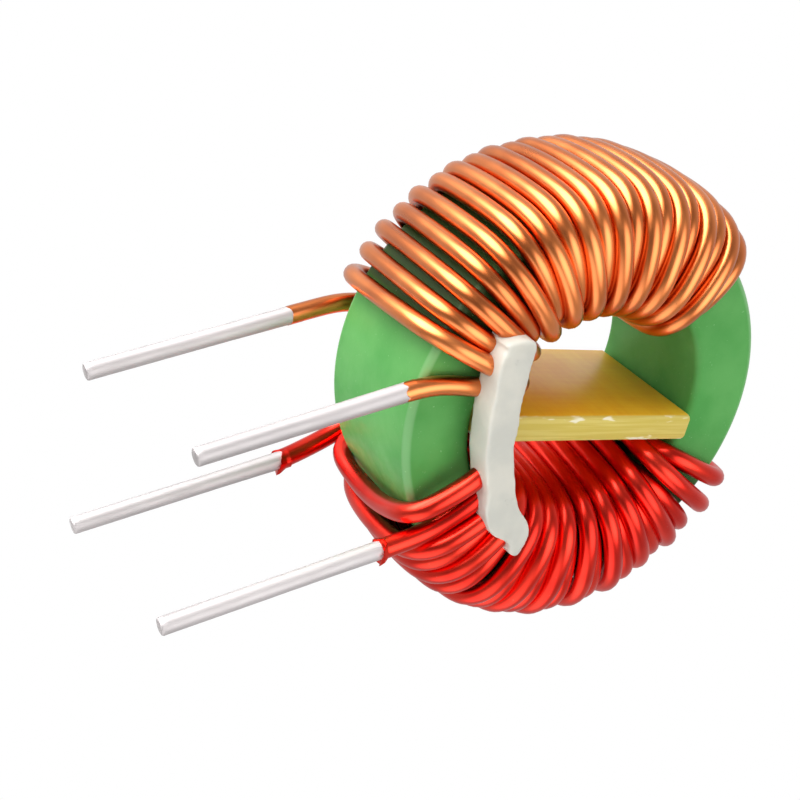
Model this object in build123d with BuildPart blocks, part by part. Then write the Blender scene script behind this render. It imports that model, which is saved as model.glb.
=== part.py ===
"""Toroidal inductor: a common mode choke with two windings on one coated ferrite ring.

The origin is where the four leads meet the circuit board, at the middle of their
rectangle. The leads point along -Z and the ring's axis lies along Y, with the front
face towards -Y. The copper winding is on the -X side and the red one on the +X side.
"""
import os
from dataclasses import dataclass
from math import asin, cos, degrees, radians, sin, sqrt, tan

from build123d import *

# Coated ferrite ring
core_diameter = 22.0
core_wall = 3.8
core_height = 8.5
core_edge_radius = 0.4
core_centre_height = 14.0
core_shift_x = 0.44
core_shift_y = -0.3

# Enamelled wire, drawn with flats: the slack is how far it stands off the rim, and the ease how much
# wider its loose bends are
wire_diameter = 1.0
wire_gap = 0.03
wire_sides = 8
bend_step_angle = 30.0
rim_slack = 0.5
loose_ease = 0.9

# Turns: angles from the lead side of the ring, and pitches as shares of the tightest one
copper_first_angle = 38.5
copper_last_angle = 141.0
red_ease_angle = 2.6
red_stray_swing = 4.522
first_pitch_share = 1.06
last_pitch_share = 1.0

# Tinned leads: drops are from the knee to the end of the enamel, lengths are below the board's face
lead_diameter = 0.95
lead_tip_chamfer = 0.12
lead_spacing_x = 8.8
lead_ease = 0.32
lead_knee_rise = 0.8
copper_front_tin_drop = 0.8
copper_back_tin_drop = 2.1
red_front_tin_drop = 2.7
red_back_tin_drop = 3.6
copper_front_lead_length = 7.9
copper_back_lead_length = 9.9
red_front_lead_length = 10.8
red_back_lead_length = 12.0

# Divider plate
plate_thickness = 1.56
plate_length = 8.8
plate_angle = 18.0
plate_offset = 0.9
plate_shift_y = -0.5
plate_corner = 0.3
plate_gap = 0.03

# Glue strip
glue_span = 10.8
glue_width = 2.4
glue_sag = 1.3
glue_thickness = 0.9
glue_edge = 0.4
glue_foot_span = 2.0
glue_gap = 0.03

core_centre = Vector(core_shift_x, core_shift_y, core_centre_height)
core_bore = core_diameter - 2 * core_wall

# Centre lines of the wire: on the bore wall, on the rim and on the faces, then one layer up
wire_seat = wire_diameter / 2 + wire_gap
layer_step = wire_diameter + wire_gap
wall_radius = core_bore / 2 - wire_seat
inner_radius = wall_radius - layer_step
rim_radius = core_diameter / 2 + wire_seat + rim_slack
face_level = core_height / 2 + wire_seat
loose_level = face_level + rim_slack
riding_level = face_level + layer_step
tight_bend = core_edge_radius + wire_seat
rim_bend = tight_bend + rim_slack
loose_bend = tight_bend + loose_ease
riding_bend = tight_bend + wire_seat

# Leads: the ends of the wires come straight down beside the ring's faces
lead_spacing_y = core_height + 2 * (wire_seat + lead_ease)
lead_knee_height = core_centre_height - core_diameter / 2 + lead_knee_rise

# Angles of the turns: a pair takes one turn of each layer, side by side on the rim
rim_pitch = 4 * degrees(asin(layer_step / (2 * rim_radius)))
bore_pitch = 2 * degrees(asin(layer_step / (2 * inner_radius)))
tight_pitch = max(rim_pitch, bore_pitch)
first_pitch = first_pitch_share * tight_pitch
last_pitch = last_pitch_share * tight_pitch

# Clear of the divider plate: for a wire in the second layer, and for one on the bore wall
plate_side = plate_offset + plate_thickness / 2 + wire_seat
plate_clear_angle = degrees(asin(plate_side / inner_radius))
wall_clear_angle = degrees(asin(plate_side / wall_radius))

# The copper turns start loose and end tight, and the red ones fill the bore from plate end to plate end
copper_pairs = round((copper_last_angle - copper_first_angle) * 2 / (first_pitch + last_pitch) + 1 / 2)
red_start_angle = plate_clear_angle - plate_angle
red_stray_angle = red_start_angle + red_stray_swing
red_lead_angle = red_start_angle + tight_pitch
red_far_angle = 180 - plate_angle - plate_clear_angle
red_last_angle = 180 - plate_angle - wall_clear_angle - red_ease_angle
red_pairs = min(copper_pairs, int((red_last_angle - red_lead_angle) / tight_pitch - 1 / 2))
red_pitch = (red_last_angle - red_lead_angle) / (red_pairs + 1 / 2)


@dataclass
class Lay:
    """How a winding lies on the ring: its side, angles, pitches and pairs of turns."""

    side: int
    first_angle: float
    first_pitch: float
    last_pitch: float
    pairs: int

    def angle(self, place: float) -> float:
        """Angle of a turn that is a number of pairs along, with an evenly changing pitch."""
        along = place - 1 / 2
        change = (self.last_pitch - self.first_pitch) / (2 * self.pairs - 1)
        return self.first_angle + self.first_pitch * along + change * along**2


copper_lay = Lay(-1, copper_first_angle, first_pitch, last_pitch, copper_pairs)
red_lay = Lay(1, red_lead_angle + red_pitch, red_pitch, red_pitch, red_pairs)


def on_ring(side: int, radius: float, angle: float, level: float) -> Vector:
    """Point beside the ring, at an angle from its lead side towards one winding."""
    turn = radians(angle)
    return core_centre + Vector(side * radius * sin(turn), level, -radius * cos(turn))


def wound_turns(lay: Lay, far_angle: float, end_level: float) -> list:
    """Corners, with their bends, of a wire that goes out along the bore wall and back in a second layer."""

    def at(radius: float, place: float, level: float, bend: float) -> tuple:
        """One corner of a turn that is a number of pairs along."""
        return on_ring(lay.side, radius, lay.angle(place), level), bend

    corners = []
    for turn in range(lay.pairs):
        if turn:
            corners.append(at(wall_radius, turn, face_level, tight_bend))
        corners.append(at(wall_radius, turn + 1, -face_level, tight_bend))
        corners.append(at(rim_radius, turn + 1, -face_level, rim_bend))
        corners.append(at(rim_radius, turn + 1, face_level, rim_bend))
    corners.append(at(wall_radius, lay.pairs, face_level, tight_bend))
    corners.append((on_ring(lay.side, inner_radius, far_angle, 0), tight_bend))
    for turn in range(lay.pairs, 0, -1):
        corners.append(at(inner_radius, turn - 1 / 2, -riding_level, riding_bend))
        corners.append(at(rim_radius, turn - 1 / 2, -loose_level, loose_bend))
        corners.append(at(rim_radius, turn - 1 / 2, loose_level, loose_bend))
        corners.append(at(inner_radius, turn - 1 / 2, riding_level, riding_bend))
    corners.append(at(inner_radius, -1 / 2, -end_level, riding_bend))
    return corners


def bent(corners: list) -> list:
    """Points of a wire bent at each corner by short straight steps around its bend radius."""
    points = [corners[0][0]]
    for (before, _), (corner, bend_radius), (after, _) in zip(corners, corners[1:], corners[2:]):
        arriving = (corner - before).normalized()
        leaving = (after - corner).normalized()
        turn = radians(arriving.get_angle(leaving))
        steps = max(1, round(degrees(turn) / bend_step_angle))
        if steps == 1:
            points.append(corner)
            continue
        centre = corner + (leaving - arriving).normalized() * (bend_radius / cos(turn / 2))
        outward = (corner - arriving * (bend_radius * tan(turn / 2)) - centre).normalized()
        reach = bend_radius / cos(turn / (2 * steps))
        for step in range(steps):
            swing = turn * (2 * step + 1) / (2 * steps)
            points.append(centre + (outward * cos(swing) + arriving * sin(swing)) * reach)
    points.append(corners[-1][0])
    return points


def lead_corners(side: int, end: int, tin_drop: float) -> list:
    """End of the enamel and knee of a lead, with their bends; end is -1 at the front and 1 at the back."""
    lead_x = side * lead_spacing_x / 2
    lead_y = end * lead_spacing_y / 2
    heights = (lead_knee_height - tin_drop, lead_knee_height)
    return [(Vector(lead_x, lead_y, height), tight_bend) for height in heights]


# Coated ferrite ring: a rectangular section turned about the ring's axis, with soft edges
with BuildPart() as toroid_core:
    with BuildSketch(Plane(origin=core_centre, x_dir=(1, 0, 0), z_dir=(0, 0, 1))):
        with Locations(((core_diameter + core_bore) / 4, 0)):
            Rectangle((core_diameter - core_bore) / 2, core_height)
    revolve(axis=Axis(core_centre, (0, 1, 0)))
    fillet(toroid_core.edges().filter_by(GeomType.CIRCLE), radius=core_edge_radius)
toroid_core.part.label = "toroid_core"

# Copper winding: one wire, from its back lead out and back round the ring to its front lead
copper_corners = lead_corners(-1, 1, copper_back_tin_drop)
copper_corners.append((on_ring(-1, wall_radius, copper_lay.angle(0), face_level), tight_bend))
copper_corners += wound_turns(copper_lay, copper_lay.angle(copper_pairs + 1 / 2), face_level)
copper_corners += reversed(lead_corners(-1, -1, copper_front_tin_drop))
copper_points = bent(copper_corners)
with BuildPart() as copper_winding:
    with BuildLine():
        Polyline(*copper_points)
    with BuildSketch(Plane(origin=copper_points[0], z_dir=copper_points[1] - copper_points[0])):
        RegularPolygon(wire_diameter / 2, wire_sides)
    sweep(transition=Transition.RIGHT)
copper_winding.part.label = "copper_winding"

# Red winding: as the copper one, but its first turn strays past its leads
red_corners = lead_corners(1, 1, red_back_tin_drop)
stray_middle_angle = (red_stray_angle + red_lay.angle(1)) / 2
red_corners += [
    (on_ring(1, inner_radius, red_lead_angle, riding_level), riding_bend),
    (on_ring(1, inner_radius, red_start_angle, -riding_level), riding_bend),
    (on_ring(1, rim_radius, red_stray_angle, -loose_level), loose_bend),
    (on_ring(1, rim_radius, red_stray_angle, face_level), rim_bend),
    (on_ring(1, wall_radius, red_stray_angle, face_level), tight_bend),
    (on_ring(1, wall_radius, stray_middle_angle, 0), tight_bend),
]
red_corners += wound_turns(red_lay, red_far_angle, riding_level)
red_corners += reversed(lead_corners(1, -1, red_front_tin_drop))
red_points = bent(red_corners)
with BuildPart() as red_winding:
    with BuildLine():
        Polyline(*red_points)
    with BuildSketch(Plane(origin=red_points[0], z_dir=red_points[1] - red_points[0])):
        RegularPolygon(wire_diameter / 2, wire_sides)
    sweep(transition=Transition.RIGHT)
red_winding.part.label = "red_winding"

# Divider plate: wedged across the bore, turned and set off towards the red winding
plate_reach = core_bore / 2 - plate_gap
plate_width = 2 * sqrt(plate_reach**2 - (plate_offset + plate_thickness / 2) ** 2)
plate_plane = Plane(
    origin=core_centre + Vector(0, plate_shift_y, 0),
    x_dir=(cos(radians(plate_angle)), 0, -sin(radians(plate_angle))),
    z_dir=(0, 1, 0),
)
with BuildPart() as divider_plate:
    with BuildSketch(plate_plane.offset(-plate_length / 2)):
        with Locations((plate_offset, 0)):
            Rectangle(plate_thickness, plate_width)
    extrude(amount=plate_length)
    end_faces = divider_plate.faces().sort_by(Axis.Z)
    corners = (end_faces[0].edges() + end_faces[-1].edges()).filter_by(Axis.Y, reverse=True)
    chamfer(corners, length=plate_corner)
divider_plate.part.label = "divider_plate"

# Glue strip: a bead across the front of both windings, with a foot down to the divider plate
glue_back = core_centre.Y - riding_level - wire_diameter / 2 - glue_gap
plate_front = core_centre.Y + plate_shift_y - plate_length / 2
plate_end_x = plate_offset * cos(radians(plate_angle)) - plate_width / 2 * sin(radians(plate_angle))
glue_plane = Plane(origin=(core_centre.X, glue_back, core_centre.Z), x_dir=(1, 0, 0), z_dir=(0, -1, 0))
glue_ends_z = glue_sag - core_bore / 2
with BuildPart() as glue_strip:
    with BuildLine(Plane.XY, mode=Mode.PRIVATE):
        course = ThreePointArc((-glue_span / 2, glue_ends_z), (0, -core_bore / 2), (glue_span / 2, glue_ends_z))
    with BuildSketch(glue_plane):
        SlotArc(course, glue_width)
    extrude(amount=glue_thickness)
    chamfer(glue_strip.faces().sort_by(Axis.Y)[0].edges(), length=glue_edge)
    with BuildSketch(glue_plane):
        with Locations((plate_end_x, -core_bore / 2)):
            Rectangle(glue_foot_span, glue_width - glue_edge)
    extrude(amount=glue_back + glue_gap - plate_front)
glue_strip.part.label = "glue_strip"


def tinned_lead(side: int, end: int, tin_drop: float, length: float) -> Part:
    """Stripped and tinned end of a wire, from the end of its enamel to its cut tip."""
    top = lead_corners(side, end, tin_drop)[0][0]
    with BuildPart() as lead:
        with BuildSketch(Plane(origin=top)):
            Circle(lead_diameter / 2)
        extrude(amount=-top.Z - length)
        chamfer(lead.faces().sort_by(Axis.Z)[0].edges(), length=lead_tip_chamfer)
    return lead.part


# Tinned leads: each one meets the end of its winding's enamel face to face
tinned_leads = {
    "copper_lead_front": tinned_lead(-1, -1, copper_front_tin_drop, copper_front_lead_length),
    "copper_lead_back": tinned_lead(-1, 1, copper_back_tin_drop, copper_back_lead_length),
    "red_lead_front": tinned_lead(1, -1, red_front_tin_drop, red_front_lead_length),
    "red_lead_back": tinned_lead(1, 1, red_back_tin_drop, red_back_lead_length),
}

os.makedirs("parts", exist_ok=True)
for piece in (toroid_core, copper_winding, red_winding, divider_plate, glue_strip):
    export_step(piece.part, f"parts/{piece.part.label}.step")
for name, lead in tinned_leads.items():
    lead.label = name
    export_step(lead, f"parts/{name}.step")
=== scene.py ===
"""Toroidal inductor: two enamelled wires on a coated ring, with a divider plate, glue and tinned leads.

Fields hold millimetres and degrees, in the frame of the solids: the leads point along -Z, the ring's
axis lies along Y with its front face towards -Y, and the copper wire is on the -X side. Meshes are
made in metres.
"""
import logging
import math
import random
from dataclasses import dataclass, field
from enum import Enum

import bpy
from mathutils import Matrix, Vector, noise
from mathutils.geometry import interpolate_bezier


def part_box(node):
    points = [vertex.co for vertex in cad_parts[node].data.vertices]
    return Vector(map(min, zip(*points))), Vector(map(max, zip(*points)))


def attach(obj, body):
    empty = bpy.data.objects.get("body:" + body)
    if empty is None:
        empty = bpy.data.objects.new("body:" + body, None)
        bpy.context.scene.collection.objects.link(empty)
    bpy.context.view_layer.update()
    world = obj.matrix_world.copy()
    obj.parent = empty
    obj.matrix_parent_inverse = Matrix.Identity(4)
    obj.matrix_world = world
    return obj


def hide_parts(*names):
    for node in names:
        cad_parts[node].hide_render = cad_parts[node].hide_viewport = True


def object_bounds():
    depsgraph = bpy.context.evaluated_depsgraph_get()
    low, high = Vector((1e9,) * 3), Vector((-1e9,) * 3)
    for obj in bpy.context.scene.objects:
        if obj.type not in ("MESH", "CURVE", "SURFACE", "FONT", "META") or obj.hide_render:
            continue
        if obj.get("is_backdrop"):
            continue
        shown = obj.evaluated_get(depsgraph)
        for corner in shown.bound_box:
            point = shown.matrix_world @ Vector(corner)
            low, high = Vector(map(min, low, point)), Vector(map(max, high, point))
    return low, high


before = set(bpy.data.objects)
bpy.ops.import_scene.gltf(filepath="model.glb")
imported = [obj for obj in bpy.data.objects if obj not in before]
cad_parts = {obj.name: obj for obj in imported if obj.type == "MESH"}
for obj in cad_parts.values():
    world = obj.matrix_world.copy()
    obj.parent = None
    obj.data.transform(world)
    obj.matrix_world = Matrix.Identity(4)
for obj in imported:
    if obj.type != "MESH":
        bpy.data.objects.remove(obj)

MM = 0.001
BODY = "root"
# Points nearer than this, in millimetres, are joined
JOIN_GAP = 0.0001
# A blur takes in this many times its spread on each side
BLUR_REACH = 3
LOG = logging.getLogger("inductor")

Colour = tuple[float, float, float]
Term = "Signal | float"
Table = tuple[tuple[float, float], ...]


class Side(Enum):
    """The two halves of the ring, by the sign of their X."""

    COPPER = -1
    RED = 1


class End(Enum):
    """The two faces of the ring, by the sign of their Y."""

    FRONT = -1
    BACK = 1


def linear(code: str) -> Colour:
    """Turn a display colour into the linear numbers that shaders use.

    Args:
        code: Six hexadecimal digits, red first.

    Returns:
        Red, green and blue from 0 to 1.
    """
    shares = [int(code[at:at + 2], 16) / 255 for at in (0, 2, 4)]
    red, green, blue = (s / 12.92 if s <= 0.04045 else ((s + 0.055) / 1.055) ** 2.4 for s in shares)
    return (red, green, blue)


class Signal:
    """A shader socket that takes part in sums like a number."""

    def __init__(self, sheet: "Sheet", socket: bpy.types.NodeSocket) -> None:
        """Keep the socket and the sheet it is on.

        Args:
            sheet: The node sheet that new maths nodes are added to.
            socket: The output that carries the value.
        """
        self.sheet = sheet
        self.socket = socket

    def __add__(self, other: Term) -> "Signal":
        """Return this plus other."""
        return self.sheet.math("ADD", self, other)

    def __radd__(self, other: Term) -> "Signal":
        """Return other plus this."""
        return self.sheet.math("ADD", other, self)

    def __sub__(self, other: Term) -> "Signal":
        """Return this minus other."""
        return self.sheet.math("SUBTRACT", self, other)

    def __rsub__(self, other: Term) -> "Signal":
        """Return other minus this."""
        return self.sheet.math("SUBTRACT", other, self)

    def __mul__(self, other: Term) -> "Signal":
        """Return this times other."""
        return self.sheet.math("MULTIPLY", self, other)

    def __rmul__(self, other: Term) -> "Signal":
        """Return other times this."""
        return self.sheet.math("MULTIPLY", other, self)

    def __truediv__(self, other: Term) -> "Signal":
        """Return this divided by other."""
        return self.sheet.math("DIVIDE", self, other)

    def __rtruediv__(self, other: Term) -> "Signal":
        """Return other divided by this."""
        return self.sheet.math("DIVIDE", other, self)

    def __abs__(self) -> "Signal":
        """Return this without its sign."""
        return self.sheet.math("ABSOLUTE", self)

    def larger(self, other: Term) -> "Signal":
        """Return the larger of this and other."""
        return self.sheet.math("MAXIMUM", self, other)


class Sheet:
    """A node tree that finishes are drawn on."""

    def __init__(self, tree: bpy.types.NodeTree) -> None:
        """Start an empty sheet.

        Args:
            tree: The tree of a material or a world, whose nodes are dropped.
        """
        self.tree = tree
        tree.nodes.clear()

    def node(self, kind: str, settings: dict | None = None, inputs: dict | None = None) -> bpy.types.Node:
        """Add a node.

        Args:
            kind: The node's type name.
            settings: Properties to set before the inputs.
            inputs: Values or signals, by input name or number.

        Returns:
            The new node.
        """
        made = self.tree.nodes.new(kind)
        for name, value in (settings or {}).items():
            setattr(made, name, value)
        for name, value in (inputs or {}).items():
            if isinstance(value, Signal):
                self.tree.links.new(value.socket, made.inputs[name])
            else:
                made.inputs[name].default_value = value
        return made

    def signal(self, made: bpy.types.Node, output: str | int = 0) -> Signal:
        """Wrap one output of a node.

        Args:
            made: The node.
            output: The output's name or number.

        Returns:
            The signal it carries.
        """
        return Signal(self, made.outputs[output])

    def math(self, operation: str, *terms: Term) -> Signal:
        """Add a maths node.

        Args:
            operation: The node's operation.
            terms: Numbers or signals.

        Returns:
            The result.
        """
        return self.signal(self.node("ShaderNodeMath", {"operation": operation}, dict(enumerate(terms))))

    def own(self) -> Signal:
        """Give the object's own coordinates."""
        return self.signal(self.node("ShaderNodeTexCoord"), "Object")

    def axes(self) -> list[Signal]:
        """Give the object's own X, Y and Z apart."""
        parts = self.node("ShaderNodeSeparateXYZ", None, {0: self.own()})
        return [self.signal(parts, axis) for axis in range(3)]

    def facing(self, way: Signal, aim: Vector) -> Signal:
        """Compare two directions.

        Args:
            way: The direction that is read.
            aim: The direction that it is held against.

        Returns:
            The cosine of the angle between them.
        """
        inputs = {0: way, 1: tuple(aim)}
        made = self.node("ShaderNodeVectorMath", {"operation": "DOT_PRODUCT"}, inputs)
        return self.signal(made, "Value")

    def place(self, scale: tuple[float, float, float], turn: float = 0.0) -> Signal:
        """Give the object's own coordinates, scaled and turned about Y.

        Args:
            scale: Factors along the three axes.
            turn: Angle about Y in degrees, applied before the scale is.

        Returns:
            The coordinates.
        """
        settings = {"vector_type": "TEXTURE"}
        inputs = {"Vector": self.own(), "Rotation": (0.0, math.radians(turn), 0.0)}
        inputs["Scale"] = tuple(1 / factor for factor in scale)
        return self.signal(self.node("ShaderNodeMapping", settings, inputs))

    def wire_place(self, along: float, around: float) -> Signal:
        """Give coordinates that follow a wire.

        Args:
            along: Factor along the wire's length.
            around: Factor around its girth.

        Returns:
            The coordinates.
        """
        lie = self.signal(self.node("ShaderNodeUVMap", {"uv_map": "UVMap"}))
        inputs = {"Vector": lie, "Scale": (along, around, 1.0)}
        return self.signal(self.node("ShaderNodeMapping", None, inputs))

    def noise(self, point: Signal, scale: float, detail: float = 3.0, rough: float = 0.5) -> Signal:
        """Add cloudy noise.

        Args:
            point: Where it is read.
            scale: How fine it is.
            detail: How many finer layers it has.
            rough: How strong those are.

        Returns:
            A value from 0 to 1.
        """
        inputs = {"Vector": point, "Scale": scale, "Detail": detail, "Roughness": rough}
        return self.signal(self.node("ShaderNodeTexNoise", None, inputs))

    def ramp(self, value: Signal, low: float, high: float, start: float = 0.0, end: float = 1.0) -> Signal:
        """Spread a value smoothly from one range to another, held at its ends.

        Args:
            value: The signal.
            low: Its value at the start.
            high: Its value at the end.
            start: The result at low.
            end: The result at high.

        Returns:
            The spread value.
        """
        settings = {"interpolation_type": "SMOOTHSTEP"}
        inputs = {"Value": value, "From Min": low, "From Max": high, "To Min": start, "To Max": end}
        return self.signal(self.node("ShaderNodeMapRange", settings, inputs))

    def blend(self, share: Signal, first: "Colour | Signal", second: "Colour | Signal") -> Signal:
        """Mix two colours.

        Args:
            share: How much of the second one, from 0 to 1.
            first: A colour or a signal.
            second: Another one.

        Returns:
            The mixed colour.
        """
        inputs = {0: share}
        for at, colour in ((6, first), (7, second)):
            inputs[at] = colour if isinstance(colour, Signal) else (*colour, 1.0)
        return self.signal(self.node("ShaderNodeMix", {"data_type": "RGBA"}, inputs), 2)

    def bump(self, height: Signal, depth: float, strength: float = 1.0) -> Signal:
        """Turn a height into a surface normal.

        Args:
            height: A value from 0 to 1.
            depth: Its height in millimetres.
            strength: How much of it shows.

        Returns:
            The normal.
        """
        inputs = {"Height": height, "Distance": depth * MM, "Strength": strength}
        return self.signal(self.node("ShaderNodeBump", None, inputs))

    def surface(self, inputs: dict) -> None:
        """Finish the sheet as one surface.

        Args:
            inputs: Values and signals for the surface shader.
        """
        shader = self.signal(self.node("ShaderNodeBsdfPrincipled", None, inputs))
        self.node("ShaderNodeOutputMaterial", None, {"Surface": shader})


def new_sheet(name: str) -> tuple[bpy.types.Material, Sheet]:
    """Make an empty material.

    Args:
        name: Its name.

    Returns:
        The material and its node sheet.
    """
    material = bpy.data.materials.new(name)
    material.use_nodes = True
    return material, Sheet(material.node_tree)


@dataclass(frozen=True)
class EpoxyCoat:
    """Green epoxy powder coat, with the slight ripple and pinholes that it cures with."""

    centre: Vector
    outer_radius: float
    half_height: float
    pale: Colour = linear("63AB5D")
    deep: Colour = linear("509C4E")
    speck: Colour = linear("A9DDA4")
    # Painted highlight: thin is a paler green laid along the ring's rounded outer edges.
    thin: Colour = linear("9CCC97")
    # Painted shade: stain is a dark olive laid on the coat under the windings, for the shadow in the gaps
    # between turns.
    stain: Colour = linear("2F3311")
    covered: tuple[float, float] = (36.0, 138.0)
    fade: float = 4.0
    shade_strength: float = 0.85
    # Painted highlight on the outer edges: where it starts and stops, in millimetres in from the corner,
    # and how strong it is.
    highlight_from: float = 0.42
    highlight_to: float = 0.25
    highlight_strength: float = 0.4
    cloud_scale: float = 260.0
    ripple_scale: float = 1500.0
    grain_scale: float = 6500.0
    ripple_depth: float = 0.03
    shine: float = 0.15

    def make(self) -> bpy.types.Material:
        """Draw the material.

        Returns:
            The finished material.
        """
        material, sheet = new_sheet("green_epoxy")
        point = sheet.own()
        cloud = sheet.noise(point, self.cloud_scale, 4.0)
        ripple = sheet.noise(point, self.ripple_scale)
        grain = sheet.noise(point, self.grain_scale, 2.0)
        colour = sheet.blend(sheet.ramp(cloud, 0.32, 0.7), self.pale, self.deep)
        # Painted highlight along the rounded outer edges.
        colour = sheet.blend(self.edge(sheet), colour, self.thin)
        # Painted shade under the windings, darkest where the wires lie.
        colour = sheet.blend(self.shade_under_wire(sheet), colour, self.stain)
        specks = sheet.ramp(grain, 0.71, 0.78, 0.0, 0.45)
        sheet.surface({
            "Base Color": sheet.blend(specks, colour, self.speck),
            "Roughness": sheet.ramp(ripple, 0.3, 0.7, 0.34, 0.48),
            "Specular IOR Level": self.shine,
            "Normal": sheet.bump(ripple * 0.8 + grain * 0.2, self.ripple_depth, 0.55),
        })
        return material

    def from_centre(self, sheet: Sheet) -> tuple[Signal, Signal, Signal]:
        """Give the place on the ring, measured from its middle.

        Args:
            sheet: The node sheet.

        Returns:
            X, Y and Z in metres.
        """
        x, y, z = (part - middle * MM for part, middle in zip(sheet.axes(), self.centre))
        return x, y, z

    def edge(self, sheet: Sheet) -> Signal:
        """Find the rounded outer edges, where a painted highlight makes the coat paler.

        Args:
            sheet: The node sheet.

        Returns:
            How strong the painted highlight is.
        """
        x, y, z = self.from_centre(sheet)
        outward = sheet.math("SQRT", x * x + z * z) + abs(y)
        corner = self.outer_radius + self.half_height
        low, high = ((corner - inward) * MM for inward in (self.highlight_from, self.highlight_to))
        return sheet.ramp(outward, low, high, 0.0, self.highlight_strength)

    def shade_under_wire(self, sheet: Sheet) -> Signal:
        """Find the part under the windings, where painted shade darkens the coat.

        Args:
            sheet: The node sheet.

        Returns:
            How dark the painted shade is.
        """
        x, _, z = self.from_centre(sheet)
        turn = sheet.math("ARCTAN2", abs(x), 0.0 - z)
        first, last = (math.radians(angle) for angle in self.covered)
        fade = math.radians(self.fade)
        begun = sheet.ramp(turn, first, first + fade, 0.0, self.shade_strength)
        return begun * sheet.ramp(turn, last - fade, last, 1.0, 0.0)


@dataclass(frozen=True)
class WireEnamel:
    """Clear or dyed enamel over bright copper wire, with drawing lines along it."""

    name: str
    bright: Colour
    deep: Colour
    mark: Colour
    metal: float
    rough: float
    coat: float
    coat_rough: float = 0.12
    cloud_scale: float = 300.0
    dust_scale: float = 5200.0
    lines_along: float = 60.0
    lines_around: float = 9.0
    line_depth: float = 0.02

    def make(self) -> bpy.types.Material:
        """Draw the material.

        Returns:
            The finished material.
        """
        material, sheet = new_sheet(self.name)
        point = sheet.own()
        cloud = sheet.noise(point, self.cloud_scale, 2.0)
        lines = sheet.noise(sheet.wire_place(self.lines_along, self.lines_around), 1.0, 2.0)
        dust = sheet.noise(point, self.dust_scale, 1.0)
        body = sheet.blend(sheet.ramp(cloud * 0.8 + lines * 0.2, 0.36, 0.64), self.deep, self.bright)
        wear = cloud * 0.6 + lines * 0.4
        sheet.surface({
            "Base Color": sheet.blend(sheet.ramp(dust, 0.77, 0.82, 0.0, 0.4), body, self.mark),
            "Metallic": self.metal,
            "Roughness": sheet.ramp(wear, 0.3, 0.7, self.rough * 0.9, self.rough * 1.15),
            "Coat Weight": self.coat,
            "Coat Roughness": self.coat_rough,
            "Normal": sheet.bump(lines * 0.4 + cloud * 0.6, self.line_depth, 0.2),
        })
        return material


@dataclass(frozen=True)
class GlassFibre:
    """Glass fibre laminate: honey coloured resin on its faces, pale cut layers on its edges."""

    centre: Vector
    lean: float
    half_thickness: float
    resin: Colour = linear("F8C52F")
    shade: Colour = linear("F0B022")
    cut: Colour = linear("D6C46C")
    fibre: Colour = linear("F4F0D8")
    layer: Colour = linear("CCB756")
    cloud_scale: float = 330.0
    weave_depth: float = 0.03
    coat_rough: float = 0.08
    glow: float = 0.12
    glow_reach: float = 0.8

    def make(self) -> bpy.types.Material:
        """Draw the material.

        Returns:
            The finished material.
        """
        material, sheet = new_sheet("glass_fibre")
        x, _, z = sheet.axes()
        slope = math.radians(self.lean)
        across = x * math.cos(slope) - z * math.sin(slope)
        middle = (self.centre.x * math.cos(slope) - self.centre.z * math.sin(slope)) * MM
        depth = abs(across - middle) / (self.half_thickness * MM)
        face = sheet.ramp(depth, 0.9, 0.97)
        cloud = sheet.noise(sheet.own(), self.cloud_scale, 4.0)
        threads = sheet.noise(sheet.place((7000.0, 700.0, 160.0), self.lean), 1.0, 3.0, 0.6)
        weave = sheet.noise(sheet.place((300.0, 3000.0, 260.0), self.lean), 1.0, 2.0)
        weft = sheet.noise(sheet.place((300.0, 260.0, 3000.0), self.lean), 1.0, 2.0)
        edge = sheet.blend(sheet.ramp(threads, 0.4, 0.6), self.layer, self.cut)
        chips = sheet.noise(sheet.place((2600.0, 900.0, 700.0), self.lean), 1.0, 2.0)
        chips = chips * 0.7 + depth * 0.3
        edge = sheet.blend(sheet.ramp(chips, 0.63, 0.7, 0.0, 0.9), edge, self.fibre)
        cloth = cloud * 0.6 + weave * 0.2 + weft * 0.2
        flat = sheet.blend(sheet.ramp(cloth, 0.35, 0.65), self.shade, self.resin)
        sheet.surface({
            "Base Color": sheet.blend(face, edge, flat),
            "Roughness": sheet.ramp(face, 0.0, 1.0, 0.62, 0.34) + threads * 0.1,
            "Coat Weight": sheet.ramp(face, 0.0, 1.0, 0.0, 0.1),
            "Coat Roughness": self.coat_rough,
            "Subsurface Weight": self.glow,
            "Subsurface Radius": (1.0, 0.7, 0.2),
            "Subsurface Scale": self.glow_reach * MM,
            "Normal": sheet.bump(threads * 0.5 + weave * 0.25 + weft * 0.25, self.weave_depth, 0.4),
        })
        return material


@dataclass(frozen=True)
class SetGlue:
    """White silicone glue, a little clear, with a skin and some grime."""

    body: Colour = linear("D8D6CB")
    thin: Colour = linear("CBCBC2")
    grime: Colour = linear("A9AAA0")
    cloud_scale: float = 420.0
    skin_scale: float = 1900.0
    stain_scale: float = 700.0
    skin_depth: float = 0.05
    glow: float = 0.25
    glow_reach: float = 0.5

    def make(self) -> bpy.types.Material:
        """Draw the material.

        Returns:
            The finished material.
        """
        material, sheet = new_sheet("white_glue")
        point = sheet.own()
        cloud = sheet.noise(point, self.cloud_scale, 4.0)
        skin = sheet.noise(point, self.skin_scale)
        stain = sheet.noise(point, self.stain_scale, 5.0, 0.65)
        colour = sheet.blend(sheet.ramp(cloud, 0.35, 0.68), self.thin, self.body)
        sheet.surface({
            "Base Color": sheet.blend(sheet.ramp(stain, 0.63, 0.75, 0.0, 0.5), colour, self.grime),
            "Roughness": sheet.ramp(skin, 0.3, 0.7, 0.38, 0.6),
            "IOR": 1.43,
            "Subsurface Weight": self.glow,
            "Subsurface Radius": (1.0, 0.95, 0.85),
            "Subsurface Scale": self.glow_reach * MM,
            "Normal": sheet.bump(skin * 0.6 + cloud * 0.4, self.skin_depth, 0.5),
        })
        return material


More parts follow.
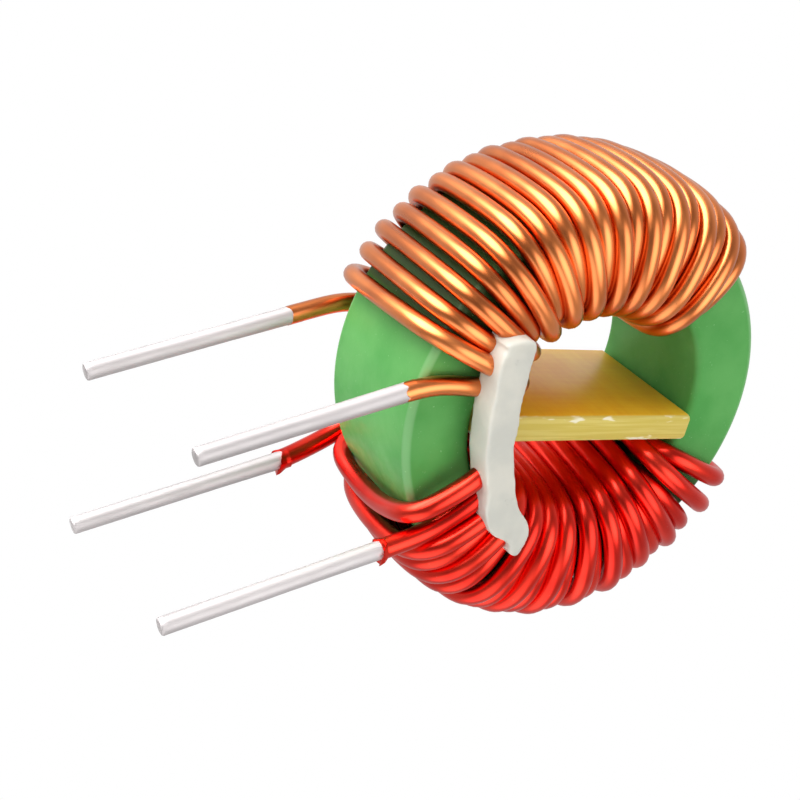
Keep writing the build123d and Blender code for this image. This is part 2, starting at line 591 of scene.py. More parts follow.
@dataclass(frozen=True)
class DippedTin:
    """Solder tin that ran along a dipped wire and froze."""

    bright: Colour = linear("C9C4C4")
    dull: Colour = linear("BBB6B6")
    run_depth: float = 0.02

    def make(self) -> bpy.types.Material:
        """Draw the material.

        Returns:
            The finished material.
        """
        material, sheet = new_sheet("dipped_tin")
        runs = sheet.noise(sheet.place((500.0, 500.0, 60.0)), 1.0, 3.0)
        grain = sheet.noise(sheet.place((2200.0, 2200.0, 500.0)), 1.0, 2.0)
        sheet.surface({
            "Base Color": sheet.blend(sheet.ramp(runs, 0.35, 0.65), self.dull, self.bright),
            "Metallic": 1.0,
            "Roughness": sheet.ramp(runs * 0.5 + grain * 0.5, 0.35, 0.65, 0.56, 0.66),
            "Normal": sheet.bump(runs * 0.7 + grain * 0.3, self.run_depth, 0.12),
        })
        return material


def deselect() -> None:
    """Leave no object selected."""
    bpy.ops.object.select_all(action="DESELECT")


def tidy_mesh(piece: bpy.types.Object, smooth_angle: float = 50.0) -> None:
    """Join doubled points, turn the faces outward and shade the piece.

    Args:
        piece: The mesh object.
        smooth_angle: Edges that turn less than this many degrees are shaded smooth.
    """
    deselect()
    bpy.context.view_layer.objects.active = piece
    piece.select_set(True)
    bpy.ops.object.mode_set(mode="EDIT")
    bpy.ops.mesh.select_all(action="SELECT")
    bpy.ops.mesh.remove_doubles(threshold=JOIN_GAP * MM)
    bpy.ops.mesh.normals_make_consistent(inside=False)
    bpy.ops.object.mode_set(mode="OBJECT")
    bpy.ops.object.shade_smooth_by_angle(angle=math.radians(smooth_angle))


def add_tube(name: str, points: list[Vector], radii: list[float], detail: int) -> bpy.types.Object:
    """Make a closed round tube as a mesh.

    Args:
        name: The object's name.
        points: Its centre line in millimetres.
        radii: Its radius at each point.
        detail: How finely its girth is divided.

    Returns:
        The mesh object.
    """
    deselect()
    bpy.ops.curve.primitive_nurbs_path_add()
    tube = bpy.context.object
    tube.name = name
    line = tube.data
    line.splines.clear()
    spline = line.splines.new("POLY")
    spline.points.add(len(points) - 1)
    for knot, point, radius in zip(spline.points, points, radii):
        knot.co = (*(point * MM), 1.0)
        knot.radius = radius
    line.dimensions = "3D"
    line.bevel_depth = MM
    line.bevel_resolution = detail
    line.use_fill_caps = True
    bpy.ops.object.convert(target="MESH")
    tube = bpy.context.object
    tidy_mesh(tube)
    return tube


def settle(
    piece: bpy.types.Object, finish: bpy.types.Material, nodes: tuple[str, ...] = ()
) -> None:
    """Give a piece its finish and its place in the table.

    Args:
        piece: The mesh object.
        finish: The material.
        nodes: The solids that it stands for.
    """
    piece.data.name = piece.name
    piece.data.materials.clear()
    piece.data.materials.append(finish)
    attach(piece, BODY)
    if nodes:
        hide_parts(*nodes)
    LOG.info("%s: %d faces", piece.name, len(piece.data.polygons))


@dataclass
class Ring:
    """The coated ferrite ring, which keeps its solid's shape."""

    bore_radius: float = 7.2
    node: str = "toroid_core"

    def __post_init__(self) -> None:
        """Read the ring's place and size from its solid."""
        low, high = (Vector(corner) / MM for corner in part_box(self.node))
        self.centre = (low + high) / 2
        self.outer_radius = (high.x - low.x) / 2
        self.half_height = (high.y - low.y) / 2

    def at(self, side: Side, radius: float, angle: float, level: float) -> Vector:
        """Give a point beside the ring.

        Args:
            side: The half it is on.
            radius: Distance from the ring's axis.
            angle: Angle from the lead side.
            level: Height along Y from the ring's middle.

        Returns:
            The point in millimetres.
        """
        turn = math.radians(angle)
        across = side.value * radius * math.sin(turn)
        return self.centre + Vector((across, level, -radius * math.cos(turn)))

    def dress(self, finish: bpy.types.Material) -> None:
        """Give the solid its finish.

        Args:
            finish: The material.
        """
        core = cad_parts[self.node]
        core.data.materials.clear()
        core.data.materials.append(finish)
        LOG.info("%s: dressed", self.node)


@dataclass
class Corner:
    """A bend of a wire, at the point where its two straight runs would meet."""

    point: Vector
    radius: float
    bow: Vector = field(default_factory=Vector)


def read(table: Table, angle: float) -> float:
    """Read a value that changes evenly between listed angles.

    Args:
        table: Angles with their values, in rising order.
        angle: Where it is read.

    Returns:
        The value there.
    """
    for (low, first), (high, second) in zip(table, table[1:]):
        if angle <= high:
            return first + (second - first) * max(0.0, (angle - low) / (high - low))
    return table[-1][1]


def soften(points: list[Vector], step: float, spread: float) -> list[Vector]:
    """Space a line's points evenly and blur its corners, with its ends left in place.

    Args:
        points: The line.
        step: Distance between the new points.
        spread: How far the blur reaches.

    Returns:
        The new line.
    """
    even, rest = [points[0]], step
    for start, end in zip(points, points[1:]):
        length = (end - start).length
        while rest <= length:
            even.append(start.lerp(end, rest / length))
            rest += step
        rest -= length
    even.append(points[-1])
    reach = math.ceil(BLUR_REACH * spread / step)
    shares = [math.exp(-((at * step / spread) ** 2) / 2) for at in range(-reach, reach + 1)]
    padded = [2 * even[0] - even[at] for at in range(reach, 0, -1)] + even
    padded += [2 * even[-1] - even[-1 - at] for at in range(1, reach + 1)]
    blurred = []
    for at in range(len(even)):
        near = padded[at:at + len(shares)]
        blurred.append(sum((spot * share for spot, share in zip(near, shares)), Vector()) / sum(shares))
    return blurred


@dataclass
class Winding:
    """One wire wound out along the bore wall and back in a second layer."""

    ring: Ring
    side: Side
    wire: float
    rim_angles: tuple[float, ...]
    slacks: Table
    front_slacks: Table
    skews: Table
    nests: Table
    start_angle: float
    end_angle: float
    far_angle: float
    back_drop: float
    front_drop: float
    seed: int
    name: str = "winding"
    seat_gap: float = 0.02
    wall_gap: float = 0.15
    face_gap: float = 0.3
    rim_rise: float = 0.2
    rim_bow: float = 0.2
    front_lift: float = 0.6
    layer_rise: float = 0.1
    bend_gain: float = 1.7
    bend_limit: float = 3.2
    bore_bend: float = 1.4
    bore_bow: float = -0.25
    lead_x: float = 4.4
    lead_y: float = 5.1
    knee_height: float = 3.8
    knee_out: float = 0.0
    knee_radius: float = 1.6
    tail: float = 2.5
    shake: float = 0.1
    arc_step: float = 9.0
    point_step: float = 0.36
    blur: float = 0.8
    bend_room: float = 0.46
    run_step: float = 1.0
    girth: int = 6

    def __post_init__(self) -> None:
        """Work out the centre lines of the first layer."""
        self.seat = self.wire / 2 + self.seat_gap
        self.wall = self.ring.bore_radius - self.seat - self.wall_gap
        self.face = self.ring.half_height + self.seat + self.face_gap
        self.chance = random.Random(self.seed)

    def angle(self, place: float) -> float:
        """Give the angle of a turn.

        Args:
            place: How many pairs along the winding it is.

        Returns:
            The angle from the lead side.
        """
        count = round(2 * place)
        return self.rim_angles[count - 1] if count else self.start_angle

    def corner(self, radius: float, angle: float, level: float, bend: float, bow: float = 0.0) -> Corner:
        """Make one bend, a little out of place as a hand leaves it.

        Args:
            radius: Distance from the ring's axis.
            angle: Angle from the lead side.
            level: Height from the ring's middle.
            bend: The bend's radius.
            bow: How far the run after it bows away from the axis.

        Returns:
            The bend.
        """
        angle += self.chance.uniform(-1, 1) * self.shake
        level += math.copysign(self.chance.uniform(0, 1) * self.shake, level)
        point = self.ring.at(self.side, radius, angle, level)
        away = (self.ring.at(self.side, 1.0, angle, 0.0) - self.ring.centre) * bow
        return Corner(point, bend, away)

    def riding(self, angle: float, end: End) -> Corner:
        """Make a bend of the second layer at the bore, nested between turns of the first one.

        Args:
            angle: Angle from the lead side.
            end: Which face of the ring it is on.

        Returns:
            The bend.
        """
        nest = read(self.nests, angle)
        bow = self.bore_bow if end is End.BACK else 0.0
        level = end.value * (self.face + nest)
        return self.corner(self.wall - nest, angle, level, self.bore_bend + nest, bow)

    def over_rim(self, angle: float, rise: float, sway: float = 0.0) -> list[Corner]:
        """Take the wire over the rim, from the front face to the back one.

        Args:
            angle: Angle from the lead side at the front.
            rise: How far it lies above the first layer.
            sway: How far its middle strays along the rim, away from the lead side.

        Returns:
            The two bends.
        """
        slack, more = read(self.slacks, angle), read(self.front_slacks, angle)
        lift = self.face_gap + rise + slack * self.rim_rise
        radius = self.ring.outer_radius + self.seat + slack
        level = self.ring.half_height + self.seat + lift
        bend = self.seat + self.bend_gain * (slack + lift)
        wide = min(self.bend_limit, bend + self.bend_gain * more * (1 + self.front_lift))
        front = self.corner(radius + more, angle, -level - more * self.front_lift, wide, self.rim_bow)
        turn = math.radians(angle)
        front.bow += Vector((self.side.value * math.cos(turn), 0.0, math.sin(turn))) * sway
        back_angle = angle + read(self.skews, angle)
        return [front, self.corner(radius, back_angle, level, min(self.bend_limit, bend))]

    def lead(self, end: End, drop: float) -> list[Corner]:
        """Give the straight end of a lead, with a tail beyond its enamel that is cut off later.

        Args:
            end: Which face of the ring it comes down.
            drop: How far below its knee the enamel goes.

        Returns:
            The bends from the end of the tail to the knee.
        """
        place = Vector((self.side.value * self.lead_x, end.value * self.lead_y, self.knee_height))
        bends = [Corner(place - Vector((0, 0, drop + self.tail)), 0.0)]
        if end is End.BACK and self.knee_out:
            bends.append(Corner(place - Vector((0, 0, drop)), self.knee_radius))
            place.y += self.knee_out
        return bends + [Corner(place, self.knee_radius)]

    def lead_in(self) -> list[Corner]:
        """Give the bends from the back lead to the first turn.

        Returns:
            The bends in order.
        """
        return [self.corner(self.wall, self.angle(0), self.face, self.bore_bend)]

    def lead_out(self) -> Corner:
        """Give the bend where the wire leaves the bore for its front lead.

        Returns:
            The bend.
        """
        return self.corner(self.wall - read(self.nests, 0.0), self.end_angle, -self.face, self.bore_bend)

    def corners(self) -> list[Corner]:
        """List the wire's bends, from its back lead to its front one.

        Returns:
            The bends in order.
        """
        pairs = len(self.rim_angles) // 2
        bends = self.lead(End.BACK, self.back_drop) + self.lead_in()
        for turn in range(pairs):
            if turn:
                bends.append(self.corner(self.wall, self.angle(turn), self.face, self.bore_bend))
            angle = self.angle(turn + 1)
            bends.append(self.corner(self.wall, angle, -self.face, self.bore_bend))
            bends += self.over_rim(angle, 0.0)
        bends.append(self.corner(self.wall, self.angle(pairs), self.face, self.bore_bend))
        bends.append(self.corner(self.wall - self.wire, self.far_angle, 0.0, self.bore_bend))
        for turn in range(pairs, 0, -1):
            angle = self.angle(turn - 0.5)
            bends.append(self.riding(angle, End.FRONT))
            bends += self.over_rim(angle, self.layer_rise)
            bends.append(self.riding(angle, End.BACK))
        bends.append(self.lead_out())
        return bends + self.lead(End.FRONT, self.front_drop)[::-1]

    def route(self) -> list[Vector]:
        """Draw the wire's centre line, with each bend rounded and each run bowed.

        Returns:
            Its points in millimetres.
        """
        bends = self.corners()
        points = [bends[0].point]
        for before, bend, after in zip(bends, bends[1:], bends[2:]):
            arriving = (bend.point - before.point).normalized()
            leaving = (after.point - bend.point).normalized()
            turn = arriving.angle(leaving)
            shorter = min((bend.point - before.point).length, (after.point - bend.point).length)
            reach = min(bend.radius * math.tan(turn / 2), self.bend_room * shorter)
            radius = reach / math.tan(turn / 2)
            start = bend.point - arriving * reach
            self.add_run(points, start, before.bow)
            middle = bend.point + (leaving - arriving).normalized() * (radius / math.cos(turn / 2))
            steps = max(2, math.ceil(math.degrees(turn) / self.arc_step))
            for step in range(1, steps + 1):
                swing = turn * step / steps
                spoke = (start - middle) * math.cos(swing)
                points.append(middle + spoke + arriving * (radius * math.sin(swing)))
        self.add_run(points, bends[-1].point, bends[-2].bow)
        cut = round(self.tail / self.point_step)
        return soften(points, self.point_step, self.blur)[cut:-cut]

    def add_run(self, points: list[Vector], target: Vector, bow: Vector) -> None:
        """Add a straight or bowed run to a line.

        Args:
            points: The line so far, which grows.
            target: Where the run ends.
            bow: How far its middle stands out.
        """
        start = points[-1]
        steps = max(1, round((target - start).length / self.run_step))
        for step in range(1, steps + 1):
            share = step / steps
            points.append(start.lerp(target, share) + bow * (4 * share * (1 - share)))

    def build(self, slot: str, finish: bpy.types.Material) -> None:
        """Make the wire in place of its solid.

        Args:
            slot: Not used.
            finish: The material.
        """
        points = self.route()
        wire = add_tube(f"{self.name}_wire", points, [self.wire / 2] * len(points), self.girth)
        settle(wire, finish, (self.name,))


@dataclass
class CopperWinding(Winding):
    """The copper coloured wire."""

    name: str = "copper_winding"


@dataclass
class RedWinding(Winding):
    """The red wire, whose first turn strays past its leads."""

    name: str = "red_winding"
    stray_angle: float = 11.7
    stray_sway: float = 0.75
    bore_angle: float = 0.5

    def lead_in(self) -> list[Corner]:
        """Give the bends from the back lead round the stray turn.

        Returns:
            The bends in order.
        """
        back_angle = self.stray_angle + read(self.skews, self.stray_angle)
        between = (back_angle + self.angle(1)) / 2
        bends = [self.riding(self.start_angle, End.BACK), self.riding(self.bore_angle, End.FRONT)]
        bends += self.over_rim(self.stray_angle, self.layer_rise, self.stray_sway)
        bends.append(self.corner(self.wall, back_angle, self.face, self.bore_bend))
        bends.append(self.corner(self.wall, between, 0.0, self.bore_bend))
        return bends

    def lead_out(self) -> Corner:
        """Give the bend where the wire leaves the bore for its front lead.

        Returns:
            The bend.
        """
        return self.riding(self.end_angle, End.FRONT)


@dataclass
class TinnedLead:
    """A stripped wire end that was dipped in tin and cut."""

    node: str
    seed: int
    inside: float
    radius: float = 0.475
    swell: float = 0.03
    wave: float = 0.003
    cut: float = 0.1
    steps: int = 36
    swell_fade: int = 3
    girth: int = 7

    def build(self, slot: str, finish: bpy.types.Material) -> None:
        """Make the lead in place of its solid.

        Args:
            slot: Not used.
            finish: The material.
        """
        low, high = (Vector(corner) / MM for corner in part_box(self.node))
        middle = (low + high) / 2
        chance = random.Random(self.seed)
        points, radii = [], []
        for step in range(self.steps + 1):
            height = high.z + self.inside + (low.z + self.cut - high.z - self.inside) * step / self.steps
            points.append(Vector((middle.x, middle.y, height)))
            near_top = max(0.0, 1 - self.swell_fade * step / self.steps)
            radii.append(self.radius + self.swell * near_top + chance.uniform(-1, 1) * self.wave)
        points += [Vector((middle.x, middle.y, height)) for height in (low.z + self.cut / 3, low.z)]
        radii += [self.radius - self.cut / 3, self.radius - self.cut]
        lead = add_tube(f"{self.node}_tinned", points, radii, self.girth)
        settle(lead, finish, (self.node,))


@dataclass
class EnamelEnd:
    """The torn end of the enamel, where a wire was stripped."""

    node: str
    wire: float
    flare: float
    start: float
    seed: int
    above: float = 0.3
    below: float = 0.35
    tear: float = 0.4
    grain: float = 0.33
    skin: float = 0.004
    lift: float = 0.3
    droop: float = 0.6
    flare_least: float = 0.25
    steps: int = 10
    girth: int = 10

    def build(self, slot: str, finish: bpy.types.Material) -> None:
        """Make the torn end round the top of a lead.

        Args:
            slot: Not used.
            finish: The material.
        """
        low, high = (Vector(corner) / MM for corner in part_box(self.node))
        middle = (low + high) / 2
        high.z += self.start
        points = []
        for step in range(self.steps + 1):
            height = high.z + self.above - (self.above + self.below) * step / self.steps
            points.append(Vector((middle.x, middle.y, height)))
        radii = [self.wire / 2 + self.skin] * len(points)
        sleeve = add_tube(f"{self.node}_enamel_end", points, radii, self.girth)
        for vertex in sleeve.data.vertices:
            spot = vertex.co / MM
            share = max(0.0, (high.z - spot.z) / self.below)
            away = Vector((spot.x - middle.x, spot.y - middle.y, 0.0))
            ragged = noise.noise(Vector((away.x, away.y, self.seed)) / self.grain)
            lower = 0.5 + away.x / self.wire
            lift = (ragged + self.lift - self.droop * lower) * self.tear * share
            spread = away.normalized() * (self.flare * share * (self.flare_least + lower))
            vertex.co = (spot + spread + Vector((0.0, 0.0, lift))) * MM
        settle(sleeve, finish)


@dataclass
class DividerPlate:
    """The glass fibre board wedged across the bore."""

    ring: Ring
    thickness: float = 1.56
    length: float = 8.8
    width: float = 13.94
    lean: float = 18.0
    offset: float = 0.9
    shift_y: float = -0.5
    corner: float = 0.3
    soft_edge: float = 0.07
    corner_arcs: int = 2
    edge_arcs: int = 3
    sharp_angle: float = 30.0
    smooth_angle: float = 40.0

    def centre(self) -> Vector:
        """Give the middle of the board.

        Returns:
            The point in millimetres.
        """
        slope = math.radians(self.lean)
        across = Vector((math.cos(slope), 0.0, -math.sin(slope)))
        return self.ring.centre + Vector((0.0, self.shift_y, 0.0)) + across * self.offset

    def build(self, slot: str, finish: bpy.types.Material) -> None:
        """Make the board in place of its solid.

        Args:
            slot: Not used.
            finish: The material.
        """
        deselect()
        bpy.ops.mesh.primitive_cube_add(size=1.0)
        board = bpy.context.object
        board.name = "divider_board"
        board.scale = Vector((self.thickness, self.length, self.width)) * MM
        bpy.ops.object.transform_apply(location=False, rotation=False, scale=True)
        for edge in board.data.edges:
            first, second = (board.data.vertices[at].co for at in edge.vertices)
            edge.select = abs(first.x - second.x) > 0.5 * self.thickness * MM
        bpy.ops.object.mode_set(mode="EDIT")
        bpy.ops.mesh.select_mode(type="EDGE")
        bpy.ops.mesh.bevel(offset=self.corner * MM, segments=self.corner_arcs)
        bpy.ops.object.mode_set(mode="OBJECT")
        board.rotation_euler = (0.0, math.radians(self.lean), 0.0)
        board.location = self.centre() * MM
        bpy.ops.object.transform_apply(location=True, rotation=True, scale=True)
        soft = board.modifiers.new("soft_edge", "BEVEL")
        soft.width = self.soft_edge * MM
        soft.segments = self.edge_arcs
        soft.angle_limit = math.radians(self.sharp_angle)
        bpy.ops.object.modifier_apply(modifier=soft.name)
        tidy_mesh(board, self.smooth_angle)
        settle(board, finish, ("divider_plate",))


@dataclass
class GlueStrip:
    """The bead of glue pressed across the front of the windings and the board."""

    ring: Ring
    outline: tuple[tuple[float, float], ...] = (
        (-7.0, -5.9), (-6.6, -6.6), (-5.9, -7.0), (-4.5, -7.25), (-3.4, -7.55), (-2.0, -7.75), (-0.7, -7.9),
        (0.6, -7.85), (1.4, -7.8), (2.6, -7.95), (3.9, -7.6), (4.8, -6.7), (5.9, -5.8), (5.25, -5.2),
        (4.3, -4.9), (2.8, -5.55), (1.3, -5.75), (-0.8, -5.8), (-1.9, -5.6), (-3.35, -5.35), (-4.9, -4.95),
        (-6.4, -4.5), (-6.9, -5.0),
    )
    front: float = 6.75
    back: float = 4.9
    inset: float = 0.2
    voxel: float = 0.11
    arcs: int = 4
    lump: float = 0.04
    wave_scale: float = 0.75
    ripple_scale: float = 1.9
    ripple_share: float = 0.45
    smoothing: float = 0.5
    smooth_rounds: int = 14
    smooth_angle: float = 180.0

    def rounded(self) -> list[Vector]:
        """Draw a smooth closed curve through the outline.

        Returns:
            Its points, as X and Z from the ring's middle.
        """
        spots = [Vector(spot) for spot in self.outline]
        curve = []
        for at, spot in enumerate(spots):
            before, after, beyond = (spots[(at + step) % len(spots)] for step in (-1, 1, 2))
            leaving, arriving = spot + (after - before) / 6, after - (beyond - spot) / 6
            curve += interpolate_bezier(spot, leaving, arriving, after, self.arcs + 1)[:-1]
        return [Vector(spot[:2]) for spot in curve]

    def build(self, slot: str, finish: bpy.types.Material) -> None:
        """Make the bead in place of its solid.

        Args:
            slot: Not used.
            finish: The material.
        """
        deselect()
        outline = self.rounded()
        bpy.ops.mesh.primitive_circle_add(vertices=len(outline), fill_type="NGON")
        bead = bpy.context.object
        bead.name = "glue_bead"
        middle = sum(outline, Vector((0.0, 0.0))) / len(outline)
        for vertex, (x, z) in zip(bead.data.vertices, outline):
            z += math.copysign(self.inset, middle.y - z)
            vertex.co = (self.ring.centre + Vector((x, -self.back, z))) * MM
        bpy.ops.object.mode_set(mode="EDIT")
        bpy.ops.mesh.select_all(action="SELECT")
        shift = (0.0, -(self.front - self.back) * MM, 0.0)
        bpy.ops.mesh.extrude_region_move(TRANSFORM_OT_translate={"value": shift})
        bpy.ops.mesh.select_all(action="SELECT")
        bpy.ops.mesh.normals_make_consistent(inside=False)
        bpy.ops.object.mode_set(mode="OBJECT")
        remesh = bead.modifiers.new("even", "REMESH")
        remesh.mode = "VOXEL"
        remesh.voxel_size = self.voxel * MM
        bpy.ops.object.modifier_apply(modifier=remesh.name)
        smooth = bead.modifiers.new("soft", "SMOOTH")
        smooth.factor = self.smoothing
        smooth.iterations = self.smooth_rounds
        bpy.ops.object.modifier_apply(modifier=smooth.name)
        for vertex in bead.data.vertices:
            spot = vertex.co / MM
            wave = noise.noise(spot * self.wave_scale)
            wave += self.ripple_share * noise.noise(spot * self.ripple_scale)
            vertex.co += vertex.normal * (wave * self.lump * MM)
        tidy_mesh(bead, self.smooth_angle)
        settle(bead, finish, ("glue_strip",))


@dataclass
class SoftBox:
    """A soft studio lamp."""

    name: str
    place: Vector
    size: float
    power: float

    def build(self, target: Vector) -> None:
        """Hang the lamp and aim it.

        Args:
            target: The point that it faces, in millimetres.
        """
        lamp = bpy.data.lights.new(self.name, "AREA")
        lamp.shape = "DISK"
        lamp.size = self.size * MM
        lamp.energy = self.power
        holder = bpy.data.objects.new(self.name, lamp)
        holder.location = self.place * MM
        holder.visible_glossy = False
        holder.rotation_euler = (target - self.place).to_track_quat("-Z", "Y").to_euler()
        bpy.context.scene.collection.objects.link(holder)


@dataclass(frozen=True)
class Window:
    """A bright part of the surroundings that only reflections show."""

    across: float
    above: float
    beyond: float
    rim: float
    pane: float
    strength: float


@dataclass
class Studio:
    """The pale floor, the lamps, the white surroundings and the camera."""

    ring: Ring
    camera_place: Vector = field(default_factory=lambda: Vector((-42.49, -61.04, -24.70)))
    look: Vector = field(default_factory=lambda: Vector((0.525044, 0.764456, 0.374079)))
    up: Vector = field(default_factory=lambda: Vector((-0.850014, 0.449077, 0.275330)))
    lens: float = 68.04
    sensor: float = 36.0
    sight: float = 10000.0
    floor_gap: float = 0.05
    floor_size: float = 1600.0
    pale: Colour = (0.86, 0.86, 0.86)
    ambient: float = 0.38
    shade: float = 0.7
    behind: float = 0.32
    beyond: float = 0.8
    skyline: float = 0.6
    depths: tuple[float, float] = (-0.8, 0.3)
    windows: tuple[Window, ...] = (
        Window(across=-0.5, above=0.72, beyond=-0.43, rim=40.0, pane=14.0, strength=9.5),
        Window(across=0.61, above=-0.36, beyond=-0.71, rim=40.0, pane=14.0, strength=2.8),
        Window(across=-0.4, above=-0.88, beyond=-0.25, rim=44.0, pane=12.0, strength=1.6),
    )

    def build(self) -> None:
        """Set the stage."""
        self.add_floor()
        self.add_world()
        for lamp in self.lamps():
            lamp.build(self.ring.centre)
        self.add_camera()
        bpy.context.scene.view_settings.view_transform = "Standard"
        LOG.info("studio: floor, lamps and camera")

    def lamps(self) -> list[SoftBox]:
        """List the lamps, most of them placed as seen from the camera.

        Returns:
            The lamps.
        """
        right = self.look.cross(self.up)

        def seen(across: float, above: float, before: float) -> Vector:
            """Give a point by its place as the camera sees the ring."""
            return self.ring.centre + right * across + self.up * above - self.look * before

        return [
            SoftBox("key_lamp", seen(-70.0, 150.0, 120.0), size=200.0, power=0.42),
            SoftBox("fill_lamp", seen(120.0, -70.0, 140.0), size=130.0, power=0.15),
            SoftBox("top_lamp", self.ring.centre + Vector((40.0, -30.0, 200.0)), size=160.0, power=0.12),
            SoftBox("back_lamp", seen(20.0, 60.0, -150.0), size=120.0, power=0.34),
        ]

    def add_floor(self) -> None:
        """Lay the floor under the leads, unseen from below, where the camera stands."""
        low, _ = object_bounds()
        deselect()
        place = (0.0, 0.0, low.z - self.floor_gap * MM)
        bpy.ops.mesh.primitive_plane_add(size=self.floor_size * MM, location=place)
        floor = bpy.context.object
        floor.name = "floor"
        bpy.ops.object.transform_apply(location=True, rotation=False, scale=False)
        floor.visible_shadow = False
        floor.visible_glossy = False
        material, sheet = new_sheet("pale_floor")
        under = sheet.signal(sheet.node("ShaderNodeNewGeometry"), "Backfacing")
        pale = sheet.signal(sheet.node("ShaderNodeBsdfDiffuse", None, {"Color": (*self.pale, 1.0)}))
        clear = sheet.signal(sheet.node("ShaderNodeBsdfTransparent"))
        shown = sheet.signal(sheet.node("ShaderNodeMixShader", None, {0: under, 1: pale, 2: clear}))
        sheet.node("ShaderNodeOutputMaterial", None, {"Surface": shown})
        floor.data.materials.append(material)
        floor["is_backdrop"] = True

    def add_world(self) -> None:
        """Surround the scene with white, which lights it softly."""
        world = bpy.data.worlds.new("white_room")
        world.use_nodes = True
        bpy.context.scene.world = world
        sheet = Sheet(world.node_tree)
        rays = sheet.node("ShaderNodeLightPath")
        seen = sheet.signal(rays, "Is Camera Ray").larger(sheet.signal(rays, "Is Glossy Ray"))
        seen = seen.larger(sheet.signal(rays, "Is Transmission Ray"))
        way = sheet.signal(sheet.node("ShaderNodeTexCoord"), "Generated")
        open_sky = sheet.ramp(sheet.facing(way, self.up), -self.skyline, self.skyline, self.shade, 1.0)
        room = open_sky * sheet.ramp(sheet.facing(way, self.look), *self.depths, self.behind, self.beyond)
        right = self.look.cross(self.up)
        for window in self.windows:
            aim = right * window.across + self.up * window.above + self.look * window.beyond
            facing = sheet.facing(way, aim.normalized())
            rim, pane = (math.cos(math.radians(angle)) for angle in (window.rim, window.pane))
            room += sheet.ramp(facing, rim, pane, 0.0, window.strength)
        camera = sheet.signal(rays, "Is Camera Ray")
        strength = camera + (1 - camera) * (seen * room + (1 - seen) * open_sky * self.ambient)
        inputs = {"Color": (1.0, 1.0, 1.0, 1.0), "Strength": strength}
        light = sheet.signal(sheet.node("ShaderNodeBackground", None, inputs))
        sheet.node("ShaderNodeOutputWorld", None, {"Surface": light})

    def add_camera(self) -> None:
        """Stand the camera where the photograph was taken from."""
        lens = bpy.data.cameras.new("photo_camera")
        lens.lens = self.lens
        lens.sensor_width = self.sensor
        lens.clip_start = MM
        lens.clip_end = self.sight * MM
        camera = bpy.data.objects.new("photo_camera", lens)
        look = self.look.normalized()
        right = look.cross(self.up).normalized()
        turn = Matrix((right, right.cross(look), -look)).transposed()
        camera.matrix_world = Matrix.Translation(self.camera_place * MM) @ turn.to_4x4()
        bpy.context.scene.collection.objects.link(camera)
        bpy.context.scene.camera = camera


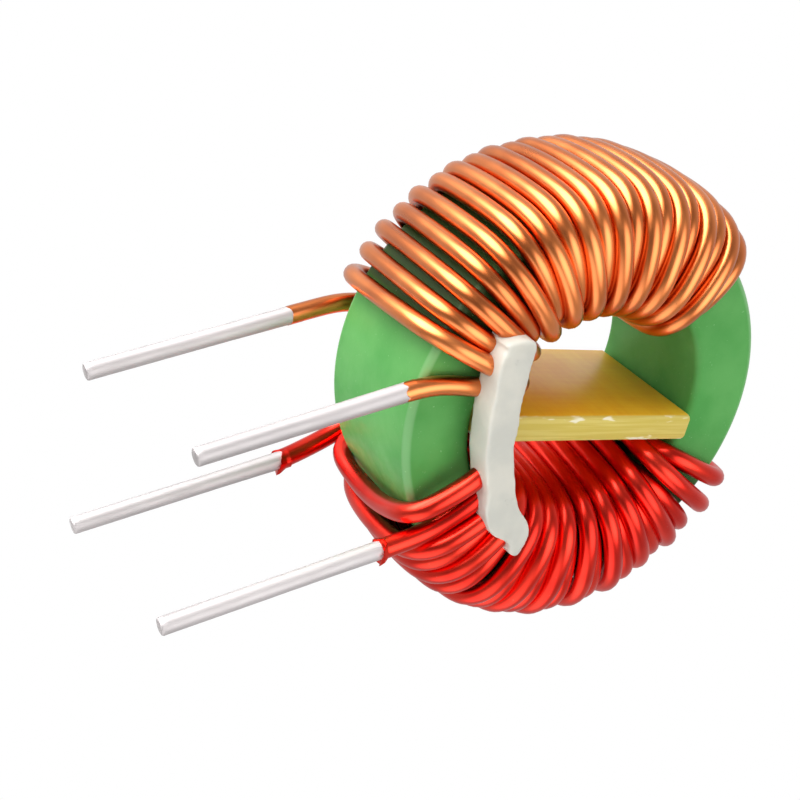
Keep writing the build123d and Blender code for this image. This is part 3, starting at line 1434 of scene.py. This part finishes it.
def main() -> None:
    """Build the pieces in order and set the stage."""
    logging.basicConfig(level=logging.INFO, format="%(message)s")
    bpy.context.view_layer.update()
    ring = Ring()
    plate = DividerPlate(ring)
    copper = WireEnamel(
        "copper_enamel", linear("EA8A4C"), linear("D2723A"), linear("8A4A22"),
        metal=1.0, rough=0.3, coat=0.35,
    )
    red = WireEnamel(
        "red_enamel", linear("EE3A29"), linear("DA281D"), linear("E89A8C"),
        metal=1.0, rough=0.3, coat=0.12,
    )
    copper_finish, red_finish, tin_finish = copper.make(), red.make(), DippedTin().make()

    ring.dress(EpoxyCoat(ring.centre, ring.outer_radius, ring.half_height).make())
    copper_wire, red_wire = 1.02, 1.1
    CopperWinding(
        ring, Side.COPPER, copper_wire,
        rim_angles=(
            39.0, 44.5, 51.0, 57.4, 63.6, 69.8, 75.2, 80.3, 85.7, 90.8,
            96.0, 101.0, 105.8, 110.6, 115.5, 120.4, 125.6, 131.0, 136.6, 143.2,
        ),
        slacks=(
            (37.0, 0.12), (50.0, 0.15), (60.0, 0.28), (95.0, 0.42),
            (112.0, 0.8), (132.0, 0.9), (143.0, 0.6),
        ),
        front_slacks=((37.0, 0.45), (60.0, 0.4), (95.0, 0.3), (112.0, 0.0)),
        skews=((39.0, -3.0), (44.5, -0.6), (51.0, 0.0)),
        nests=(
            (0.0, 1.85), (35.0, 0.85), (40.0, 0.75), (80.0, 0.72),
            (95.0, 0.78), (110.0, 0.88), (143.0, 1.1),
        ),
        start_angle=32.4, end_angle=36.5, far_angle=148.0, back_drop=2.8, front_drop=1.25, seed=3,
        knee_height=4.5, knee_radius=2.2,
    ).build("copper_enamel", copper_finish)
    RedWinding(
        ring, Side.RED, red_wire,
        rim_angles=(
            25.4, 31.6, 37.4, 44.4, 51.6, 56.7, 61.6, 67.0, 72.0, 78.0,
            84.2, 89.1, 95.6, 101.6, 106.7, 112.0, 117.2, 123.4, 131.3, 140.1,
        ),
        slacks=(
            (11.7, 0.0), (25.0, 0.7), (50.0, 1.15), (75.0, 1.3), (100.0, 1.1), (112.0, 0.6), (140.0, 0.35),
        ),
        front_slacks=(
            (11.0, 0.0), (60.0, 0.0), (75.0, 0.08), (85.0, 0.1), (98.0, 0.12), (112.0, 0.08), (140.0, 0.0),
        ),
        skews=((11.7, 9.5), (25.4, 6.6), (31.6, 5.2), (37.4, 4.0), (44.4, 2.5), (51.6, 1.0), (56.7, 0.0)),
        nests=((0.0, 0.9), (140.0, 0.9)),
        start_angle=14.7, end_angle=11.0, far_angle=138.5, back_drop=3.6, front_drop=2.45, seed=5,
        knee_out=0.9,
    ).build("red_enamel", red_finish)
    plate.build("glass_fibre", GlassFibre(plate.centre(), plate.lean, plate.thickness / 2).make())
    GlueStrip(ring).build("white_glue", SetGlue().make())
    lead_seed, end_seed, cover = 11, 21, 0.1
    for number, (node, colour, finish, wire, flare, start) in enumerate((
        ("copper_lead_front", "copper_enamel", copper_finish, copper_wire, 0.0, 0.25),
        ("copper_lead_back", "copper_enamel", copper_finish, copper_wire, 0.0, 0.0),
        ("red_lead_front", "red_enamel", red_finish, red_wire, 0.2, 0.25),
        ("red_lead_back", "red_enamel", red_finish, red_wire, 0.18, 0.0),
    )):
        TinnedLead(node, number + lead_seed, start + cover).build("tin", tin_finish)
        EnamelEnd(node, wire, flare, start, number + end_seed).build(colour, finish)
    Studio(ring).build()


if __name__ == "__main__":
    main()
